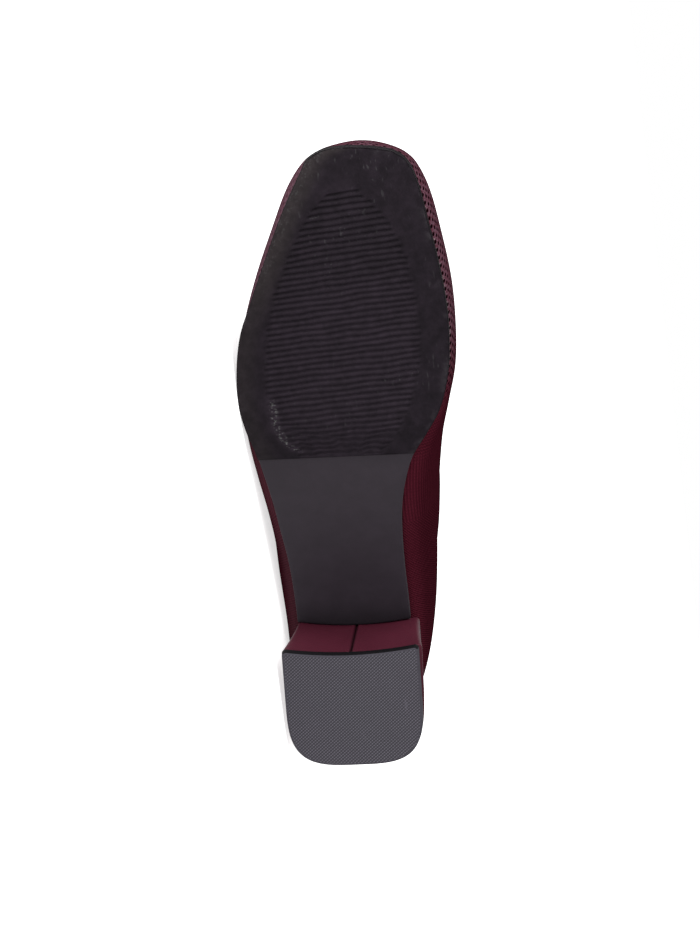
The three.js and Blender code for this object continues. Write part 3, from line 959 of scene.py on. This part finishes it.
class BOOT_OT_upper(bpy.types.Operator):
    """Knits the upper as one shell from toe to collar"""

    bl_idname = "boot.upper"
    bl_label = "Upper"

    def execute(self, context):
        sizes, colours = context.scene.boot_sizes, context.scene.boot_colours
        rows = upper_rows()
        stations = list(range(len(rows)))
        rings, around = sizes.rings, sizes.around
        loops = []
        for k in range(rings + 1):
            at = max(0.0, (k - 1) / (rings - 1)) * stations[-1]
            loops.append(upper_ring(table_at(rows, stations, at), around, k == 0))
        travel = [[0.0] * (around + 1) for _ in loops]
        girth = [[0.0] * (around + 1) for _ in loops]
        middle = around // 2
        for k, loop in enumerate(loops):
            for j in range(middle + 1, around + 1):
                girth[k][j] = girth[k][j - 1] + (loop[j] - loop[j - 1]).length
            for j in range(middle - 1, -1, -1):
                girth[k][j] = girth[k][j + 1] - (loop[j] - loop[j + 1]).length
            if k > 0:
                steps = [(p - q).length for p, q in zip(loop, loops[k - 1])]
                travel[k] = [t + step for t, step in zip(travel[k - 1], steps)]
        bm, cells = grid_mesh(rings, around, lambda k, j: loops[k][j])

        def spread(vert):
            k, j = cells[vert]
            return (girth[k][j] * MM, travel[k][j] * MM)

        map_grid(bm, "knit", spread)
        edge = bm.verts.layers.float["edge"]
        for vert, (k, j) in cells.items():
            open_ring = loops[k][0].z < LOWEST_BACK
            away = min(girth[k][j] - girth[k][0], girth[k][-1] - girth[k][j])
            vert[edge] = away * MM if open_ring else 1.0
        bmesh.ops.remove_doubles(bm, verts=bm.verts, dist=UPPER_MERGE)
        bmesh.ops.recalc_face_normals(bm, faces=bm.faces)
        bm.normal_update()
        for vert in bm.verts:
            below = COLLAR_BACK + COLLAR_RISE * vert.co.x - vert.co.z
            hem = smoothstep(*HEM_BELOW, below) * HEM_RAISE
            slack = smoothstep(*SLACK_HEIGHT, vert.co.z) * SLACK_RAISE
            slack *= noise.noise(vert.co * SLACK_RATE)
            vert.co += vert.normal * (hem + slack)
        geom = bm.verts[:] + bm.edges[:] + bm.faces[:]
        collar = Vector((0.0, 0.0, COLLAR_BACK))
        lean = Vector((-COLLAR_RISE, 0.0, 1.0))
        bmesh.ops.bisect_plane(bm, geom=geom, plane_co=collar, plane_no=lean, clear_outer=True)
        materials = [knit_material(sizes, colours.knit), lining_material(colours.lining)]
        piece = finish_piece(bm, "knit_upper", "upper", materials)
        wall = piece.modifiers.new("wall", "SOLIDIFY")
        wall.thickness = sizes.wall
        wall.offset = -1.0
        wall.use_even_offset = True
        wall.material_offset = 1
        return {"FINISHED"}


# The sole


def rib_slope(x):
    """Slope of the ribs across the tread, which fan out a little towards the toe."""
    rear, rear_slant, front, front_slant = RIB_SLANT
    return math.tan(lerp(rear_slant, front_slant, clamp((x - rear) / (front - rear))))


def sole_line(station):
    """Slant and the two edge points of the line across the sole at a station."""
    ribbed = smoothstep(TREAD_REAR - 2.0, RIB_FIRST + 4.0, station)
    turn = lerp(SWING_SLOPE, rib_slope(station), ribbed)
    turn *= 1 - smoothstep(*SOLE_SQUARES, station)
    ends = []
    for column, sign in ((0, -1), (1, 1)):
        y = 0.0
        for _ in range(8):
            y = sign * outline_at(station + y * turn)[column]
        ends.append(y)
    return turn, ends[0], ends[1]


def toe_stations(start, count):
    """Stations that close up towards the toe."""
    quarter = math.pi / 2
    shares = [math.sin(quarter * i / count) for i in range(1, count + 1)]
    return [start + (SOLE_TIP - start) * share for share in shares]


def sole_edges(stations):
    """Outer and inner end of the line across the sole at each station."""
    ends = []
    for station in stations:
        turn, *edges = sole_line(station)
        ends.append([Vector((station + y * turn, y)) for y in edges])
    return ends


def closed_sheet(ends, columns, low, high, bevel):
    """Closed sheet between rows of end points, from a low to a high surface."""

    def place(k, j):
        at = ends[k][0].lerp(ends[k][1], j / columns)
        return Vector((at.x, at.y, low(at.x, at.y)))

    bm = grid_mesh(len(ends) - 1, columns, place)[0]
    rim = [edge for edge in bm.edges if edge.is_boundary]
    made = bmesh.ops.extrude_face_region(bm, geom=bm.faces[:], use_keep_orig=True)
    for vert in made["geom"]:
        if isinstance(vert, bmesh.types.BMVert):
            vert.co.z = high(vert.co.x)
    bmesh.ops.recalc_face_normals(bm, faces=bm.faces)
    if bevel > 0:
        round_edges(bm, rim, bevel)
    return bm


def mark_edge(bm):
    """Keeps each point's distance from the edge of the sole."""
    layer = bm.verts.layers.float["edge"]
    for vert in bm.verts:
        x = clamp(vert.co.x, SOLE_REAR, SOLE_TIP)
        outer, inner = outline_at(x)
        vert[layer] = max(0.0, min(vert.co.y + outer, inner - vert.co.y, SOLE_TIP - x)) * MM


class BOOT_OT_outsole(bpy.types.Operator):
    """Lays the grey sole from the heel breast to the toe"""

    bl_idname = "boot.outsole"
    bl_label = "Outsole"

    def execute(self, context):
        colours = context.scene.boot_colours
        stations = even_steps(BREAST_X, TOE_ROWS, 110) + toe_stations(TOE_ROWS, 12)
        bm = closed_sheet(sole_edges(stations), 24, lambda x, y: 0.0, lambda x: 1.0, 0.0)
        for vert in bm.verts:
            back = smoothstep(BREAST_X + BREAST_REACH, BREAST_X, swung(vert.co))
            v = vert.co.y - HEEL_BACK_Y + HEEL_FRONT * math.sin(SWING)
            vert.co.x += back * (breast_at(v) - BREAST_X - vert.co.y * SWING_SLOPE)
            vert.co.z = feather(vert.co.x) - (GAP + OUTSOLE) * (1.0 - vert.co.z)
        sharp = [e for e in bm.edges if e.is_manifold and e.calc_face_angle(0.0) > SHARP]
        round_edges(bm, sharp, EDGE_ROUND)
        mark_edge(bm)
        # Painted shade on the waist's end by the heel breast, darkest at the breast
        breast_shade = bm.verts.layers.float["groove"]
        for vert in bm.verts:
            vert[breast_shade] = smoothstep(BREAST_REACH, -1.0, swung(vert.co) - BREAST_X)
        for face in bm.faces:
            middle = face.calc_center_median()
            face.material_index = int(swung(middle) > TREAD_REAR + 1.0)
        finish = {"roughness": 0.55, "specular": 0.12, "blotches": 0.08, "scuffs": 0.0}
        waist = rubber_material("waist rubber", colours.waist, **finish)
        finish_piece(bm, "waist_sole", "outsole", [waist, edge_material(colours.rubber)])
        return {"FINISHED"}


def field_inside(x, y):
    """How far inside the ribbed field a point lies, from its outer and from its inner edge."""
    station = x - y * SWING_SLOPE * (1 - smoothstep(*FIELD_SQUARES, x))
    outer, inner = by_x(RIB_FIELD, clamp(station, FIELD_REAR, RIB_LAST))
    return y + outer, inner - y


def rib_groove(x, y, pitch):
    """How deep in a groove of the ribbed field a point lies, from 0 to 1."""
    station = x - y * rib_slope(x)
    rib = (station - RIB_FIRST) / pitch
    rough = 0.2 + 0.35 * smoothstep(143.0, 131.0, x)
    rib += rough * noise.noise(Vector((y * 0.5 * rough, rib * 0.35, 1.3)))
    number = math.floor(rib)
    ragged = 1.2 * noise.noise(Vector((number * 3.7, math.copysign(5.0, y), 0.4)))
    field = smoothstep(-0.4, 0.9, min(field_inside(x, y)) + ragged)
    field *= smoothstep(0.5, 1.6, x - y * SWING_SLOPE - TREAD_REAR)
    field *= smoothstep(RIB_LAST + 1.0, RIB_LAST, station)
    return field * smoothstep(0.36, 0.1, abs(rib - number - 0.5))


def tread_depth(x, y):
    """Thickness of the tread, which thins out towards its rear edge."""
    share = clamp((x - y * SWING_SLOPE - TREAD_REAR) / TREAD_TAPER)
    return GAP + lerp(TREAD_END, TREAD, share)


# Wear of the tread in millimetres. Shade of the grooves: from and to which distance inside the
# outer and the inner edge of the ribbed field, and how deep it gets there and elsewhere
OUTER_SHADE = (16.0, 1.0)
INNER_SHADE = (6.0, 0.5)
SHADES = (0.8, 0.75, 0.1)

# Worn rib ends: where along the foot they begin and end, their place and width across
WORN_FRONT = (156.0, 148.0)
WORN_REAR = (126.0, 130.0)
WORN_PLACE = 1.5
WORN_WIDTH = 2.4

# Rubbed ribs, and paler rubber along the outer edge: amounts at the ball and at the toe, and
# between
RIB_RUB = (0.4, 0.12)
RIB_RUB_X = (185.0, 215.0)
OUTER_PALE = (0.35, 0.65)
OUTER_PALE_X = (170.0, 210.0)
OUTER_PALE_WIDTH = (11.0, 2.0)

# Points below this many groove depths belong to the walking face, and side faces of the tread
# are those that stand steeper than this normal within this many metres of the edge
FACE_DEPTH = 1.4
SIDE_NORMAL = 0.8
SIDE_WIDTH = 0.0007


def groove_shade(outer, inner):
    """How dark a groove is, by its distance from the two edges of the ribbed field."""
    from_outer = SHADES[0] * smoothstep(*OUTER_SHADE, outer)
    from_inner = SHADES[1] * smoothstep(*INNER_SHADE, inner)
    return max(from_outer, from_inner, SHADES[2])


def tread_rub(x, y, outer, inner):
    """How much the ground has rubbed the tread at a point, and how much paler it is along its
    outer edge.
    """
    ends = smoothstep(*WORN_FRONT, x) * smoothstep(*WORN_REAR, x)
    ends *= math.exp(-(((outer - WORN_PLACE) / WORN_WIDTH) ** 2))
    ribs = smoothstep(-0.5, 1.5, min(outer, inner)) * smoothstep(RIB_LAST + 3.0, RIB_LAST, x)
    ribs *= lerp(*RIB_RUB, smoothstep(*RIB_RUB_X, x))
    # Paler towards the outer edge of the tread
    outer_pale = smoothstep(*OUTER_PALE_WIDTH, y + outline_at(x)[0])
    return max(ribs, ends, outer_pale * lerp(*OUTER_PALE, smoothstep(*OUTER_PALE_X, x)))


class BOOT_OT_tread(bpy.types.Operator):
    """Moulds the ribbed forefoot rubber"""

    bl_idname = "boot.tread"
    bl_label = "Forefoot tread"

    def execute(self, context):
        sizes, colours = context.scene.boot_sizes, context.scene.boot_colours
        pitch, depth = sizes.rib_pitch / MM, sizes.rib_depth / MM
        count = RIB_ROWS * round((RIB_LAST - TREAD_REAR) / pitch)
        stations = even_steps(TREAD_REAR, RIB_LAST + 1.0, count)
        stations += toe_stations(RIB_LAST + 1.0, 16)

        def top(x):
            return feather(x) - GAP - OUTSOLE

        def low(x, y):
            return top(x) - tread_depth(x, y) + depth * rib_groove(x, y, pitch)

        bm = closed_sheet(sole_edges(stations), 84, low, top, EDGE_ROUND)
        mark_edge(bm)
        bm.normal_update()
        layers = bm.verts.layers.float
        edge, groove, rub = layers["edge"], layers["groove"], layers["rub"]
        for vert in bm.verts:
            x, y, z = vert.co
            sunk = (z - top(x) + tread_depth(x, y)) / depth
            if sunk < FACE_DEPTH:
                outer, inner = field_inside(x, y)
                vert[groove] = clamp(sunk) * groove_shade(outer, inner)
                vert[rub] = tread_rub(x, y, outer, inner)
        for face in bm.faces:
            beside = min(vert[edge] for vert in face.verts) < SIDE_WIDTH
            face.material_index = int(abs(face.normal.z) < SIDE_NORMAL and beside)
        finish = {"roughness": 0.6, "specular": 0.04, "blotches": 0.22, "scuffs": 0.4}
        face_rubber = rubber_material("tread rubber", colours.rubber, **finish)
        materials = [face_rubber, edge_material(colours.rubber)]
        finish_piece(bm, "ribbed_tread", "forefoot_tread", materials)
        return {"FINISHED"}


# The heel


def breast_at(v):
    """Where the sole ends on the hollow breast of the heel."""
    hollow = BREAST_HOLLOW * (1 - (2 * v / HEEL_TOP_WIDTH) ** 2)
    return (HEEL_FRONT + GAP - hollow) * math.cos(SWING) + v * math.sin(SWING)


def heel_point(a, v, z):
    """Point from the heel's own axis to the boot's axes."""
    x = a * math.cos(SWING) + v * math.sin(SWING)
    y = HEEL_BACK_Y - a * math.sin(SWING) + v * math.cos(SWING)
    return Vector((x, y, z))


def heel_ring(z, grow=0.0, seam=None, swell=0.0):
    """Closed outline of the heel at a height, starting at the outer front corner."""
    up = clamp((z - LIFT) / (SEAT_HEIGHT - LIFT))
    flare = (1 - up) ** 1.5
    half = lerp(HEEL_TOP_WIDTH, LIFT_WIDTH, flare) / 2 + grow
    power = 2 / lerp(*BACK_SQUARE, flare)
    back = lerp(*BACK_X, flare) - grow
    middle = lerp(*BACK_BEND, flare)

    def front(v):
        return HEEL_FRONT + grow - BREAST_HOLLOW * (1 - (v / half) ** 2)

    def fuller(a, v):
        inner = max(0.0, v / half)
        return heel_point(a, v + swell * inner * smoothstep(*SWELL_FROM, a), z)

    line = lerp(*SEAM_PLACE, up)
    left, right = -half + HEEL_CORNER, half - HEEL_CORNER
    across = even_steps(left, line - SEAM_CLEAR, BREAST_STEPS)
    across += [line + step for step in SEAM_STEPS]
    across += even_steps(line + SEAM_CLEAR, right, BREAST_STEPS)
    points = []
    for v in across:
        a = front(v)
        if seam is not None:
            off = abs(v - line)
            a -= seam * math.exp(-((off / SEAM_WIDTH) ** 2))
            a += ROLL_HEIGHT * math.exp(-(((off - ROLL_OFF) / ROLL_WIDTH) ** 2))
        points.append(fuller(a, v))
    corner = [math.pi / 2 * i / CORNER_STEPS for i in range(CORNER_STEPS + 1)]
    base = front(right) - HEEL_CORNER
    for t in corner[1:]:
        points.append(fuller(base + HEEL_CORNER * math.cos(t), right + HEEL_CORNER * math.sin(t)))
    for i in range(BACK_STEPS + 1):
        t = math.pi * i / BACK_STEPS
        v = half * math.copysign(abs(math.cos(t)) ** power, math.cos(t))
        points.append(fuller(middle - (middle - back) * math.sin(t) ** power, v))
    for t in corner[:-1]:
        points.append(fuller(base + HEEL_CORNER * math.sin(t), left - HEEL_CORNER * math.cos(t)))
    return points + points[:1]


class BOOT_OT_heel(bpy.types.Operator):
    """Wraps the block heel in leather with a seam down its breast"""

    bl_idname = "boot.heel"
    bl_label = "Heel"

    def execute(self, context):
        colours = context.scene.boot_colours
        plain = heel_ring(SEAT_HEIGHT)
        tops = [feather(p.x) + HEEL_TUCK * smoothstep(*TUCK_FROM, p.x) for p in plain]
        levels = [0.02 + 0.96 * i / HEEL_ROWS for i in range(HEEL_ROWS + 1)]
        levels = [0.0, 0.004, 0.012, *levels, 0.992, 1.0]
        seam_marks = [0.0] * (BREAST_STEPS + 1)
        seam_marks += [math.exp(-((step / SEAM_SHADE) ** 2)) for step in SEAM_STEPS]
        rings = {}

        def place(j, k):
            z = lerp(COVER_LOW, tops[j], levels[k])
            key = round(z, 3)
            if key not in rings:
                swell = lerp(*COVER_SWELL, clamp(z / SEAT_HEIGHT))
                rings[key] = heel_ring(z, 0.0, SEAM_DEPTH, swell)
            point = rings[key][j]
            inward = (heel_point(HEEL_MIDDLE, 0.0, z) - point).normalized()
            return point + inward * COVER_SOFT.get(levels[k], 0.0)

        bm, cells = grid_mesh(len(plain) - 1, len(levels) - 1, place)
        layer = bm.verts.layers.float["groove"]
        for vert, (j, _) in cells.items():
            vert[layer] = seam_marks[j] if j < len(seam_marks) else 0.0
        bmesh.ops.remove_doubles(bm, verts=bm.verts, dist=HEEL_MERGE)
        close_holes(bm)
        finish_piece(bm, "heel_cover", "heel", [cover_material(colours.cover)])
        return {"FINISHED"}


class BOOT_OT_lift(bpy.types.Operator):
    """Adds the top piece with its crosshatched walking face"""

    bl_idname = "boot.lift"
    bl_label = "Heel lift"

    def execute(self, context):
        sizes, colours = context.scene.boot_sizes, context.scene.boot_colours
        rings = [heel_ring(z, grow) for z, grow in LIFT_PROFILE]
        bm = grid_mesh(len(rings[0]) - 1, len(rings) - 1, lambda j, k: rings[k][j])[0]
        bmesh.ops.remove_doubles(bm, verts=bm.verts, dist=HEEL_MERGE)
        close_holes(bm)
        walking = [face for face in bm.faces if all(vert.co.z < 0.001 for vert in face.verts)]
        bmesh.ops.inset_region(bm, faces=walking, thickness=LIFT_RIM, depth=0.0)
        map_grid(bm, "hatch", lambda vert: (vert.co.x * MM, vert.co.y * MM))
        bm.normal_update()
        # Faces towards the breast get the lift's colour at a tenth as painted shade, the others
        # nearly plain
        for face in bm.faces:
            face.material_index = 1 if face.normal.x > FACING else 2
        for face in walking:
            face.material_index = 0
        finish = {"roughness": 0.6, "specular": 0.05, "blotches": 0.1, "scuffs": 0.0}
        # Painted shade: the front copy of the lift rubber is far darker
        front = rubber_material("lift front rubber in painted shade", shade(colours.lift, 0.1), **finish)
        side = rubber_material("lift side rubber", shade(colours.lift, 1.05), **finish)
        materials = [lift_material(sizes, colours.lift), front, side]
        finish_piece(bm, "hatched_lift", "heel_lift", materials)
        return {"FINISHED"}


# The insole


class BOOT_OT_insole(bpy.types.Operator):
    """Lays the padded insole inside the upper"""

    bl_idname = "boot.insole"
    bl_label = "Insole"

    def execute(self, context):
        colours = context.scene.boot_colours
        rows = upper_rows()
        stations = list(range(len(rows)))
        last = len(FOOT) - 1.0
        while feather_share(*table_at(rows, stations, last + INSOLE_SEARCH)[:4]) > 0:
            last += INSOLE_SEARCH
        edges = []
        for i in range(INSOLE_ROWS + 1):
            at = last * (i / INSOLE_ROWS) ** 0.8
            ring = upper_ring(table_at(rows, stations, at), 8, False)
            edges.append((ring[0], ring[-1]))
        toe, back = edges[0][0].x, edges[-1][0].x
        ends = []
        for outer, inner in edges:
            share = (toe - outer.x) / (toe - back)
            x = lerp(toe - INSOLE_INSET, back + INSOLE_INSET, share)
            left, right = outer.y + INSOLE_INSET, inner.y - INSOLE_INSET
            ends.append((Vector((x, left)), Vector((x, right))))

        def top(x, y):
            return feather(x) + INSOLE

        def underside(x):
            return feather(x) + INSOLE_TUCK * smoothstep(*INSOLE_TUCK_FROM, x)

        bm = closed_sheet(ends, 16, top, underside, INSOLE_ROUND)
        bm.normal_update()
        for face in bm.faces:
            face.material_index = int(face.normal.z < FACING)
        padding = lining_material(shade(colours.lining, INSOLE_PALER))
        materials = [padding, edge_material(colours.knit)]
        finish_piece(bm, "padded_insole", "insole", materials)
        return {"FINISHED"}


# The stage


def soft_light(name, place, size, power, target):
    """Round area light that looks at a target."""
    data = bpy.data.lights.new(name, "AREA")
    data.shape = "DISK"
    data.size = size
    data.energy = power
    lamp = bpy.data.objects.new(name, data)
    bpy.context.scene.collection.objects.link(lamp)
    lamp.location = place
    lamp.rotation_euler = (target - place).to_track_quat("-Z", "Y").to_euler()


class BOOT_OT_stage(bpy.types.Operator):
    """Sets the pale floor, the soft light and the photograph's camera"""

    bl_idname = "boot.stage"
    bl_label = "Stage"

    def execute(self, context):
        scene = context.scene
        scene.view_settings.view_transform = "Standard"
        bm = bmesh.new()
        bmesh.ops.create_grid(bm, x_segments=1, y_segments=1, size=FLOOR_HALF)
        mesh = bpy.data.meshes.new("floor")
        bm.to_mesh(mesh)
        bm.free()
        floor = bpy.data.objects.new("floor", mesh)
        scene.collection.objects.link(floor)
        paper, tree, shader, place = new_material("white paper", 0.9, 0.1)
        fibre = noise_node(tree, place, 300.0, 2.0)
        join(tree, mix_colour(tree, fibre, *PAPER), shader.inputs["Base Color"])
        shader.inputs["Emission Color"].default_value = WHITE
        shader.inputs["Emission Strength"].default_value = PAPER_GLOW
        mesh.materials.append(paper)

        world = bpy.data.worlds.new("studio")
        scene.world = world
        world.use_nodes = True
        sky = world.node_tree.nodes["Background"]
        sky.inputs["Color"].default_value = WHITE
        sky.inputs["Strength"].default_value = 1.0

        middle = LAY_DOWN @ VIEW_TARGET
        for name, spot, size, power in SOFTBOXES:
            soft_light(name, Vector(spot), size, power, middle)

        level = math.cos(VIEW_YAW)
        down = -math.cos(VIEW_PITCH) * level
        away = Vector((math.sin(VIEW_PITCH) * level, math.sin(VIEW_YAW), down))
        side = Vector((1.0, 0.0, 0.0)).cross(away).normalized()
        up = away.cross(side)
        turn = BOOT_TURN @ Matrix((side, up, away)).transposed()
        data = bpy.data.cameras.new("photo_camera")
        data.lens = VIEW_LENS
        data.sensor_width = VIEW_SENSOR
        camera = bpy.data.objects.new("photo_camera", data)
        scene.collection.objects.link(camera)
        stand = Matrix.Translation(LAY_DOWN @ (VIEW_TARGET + away * VIEW_DISTANCE))
        camera.matrix_world = stand @ turn.to_4x4()
        scene.camera = camera
        return {"FINISHED"}


class BOOT_PT_panel(bpy.types.Panel):
    """Lists the sizes, colours and pieces of the boot"""

    bl_idname = "BOOT_PT_panel"
    bl_label = "Knitted ankle boot"
    bl_space_type = "VIEW_3D"
    bl_region_type = "UI"
    bl_category = "Boot"

    def draw(self, context):
        for group_name in ("boot_sizes", "boot_colours"):
            settings = getattr(context.scene, group_name)
            for name in settings.__annotations__:
                self.layout.prop(settings, name)
        for operator in OPERATORS:
            self.layout.operator(operator.bl_idname)


OPERATORS = (
    BOOT_OT_stage,
    BOOT_OT_upper,
    BOOT_OT_insole,
    BOOT_OT_outsole,
    BOOT_OT_tread,
    BOOT_OT_heel,
    BOOT_OT_lift,
)
CLASSES = (BootSizes, BootColours, *OPERATORS, BOOT_PT_panel)


def register():
    for cls in CLASSES:
        bpy.utils.register_class(cls)
    bpy.types.Scene.boot_sizes = PointerProperty(type=BootSizes)
    bpy.types.Scene.boot_colours = PointerProperty(type=BootColours)


def unregister():
    del bpy.types.Scene.boot_colours
    del bpy.types.Scene.boot_sizes
    for cls in reversed(CLASSES):
        bpy.utils.unregister_class(cls)


def main():
    register()
    bpy.ops.boot.stage()
    bpy.ops.boot.upper()
    bpy.ops.boot.insole()
    bpy.ops.boot.outsole()
    bpy.ops.boot.tread()
    bpy.ops.boot.heel()
    bpy.ops.boot.lift()


if __name__ == "__main__":
    main()
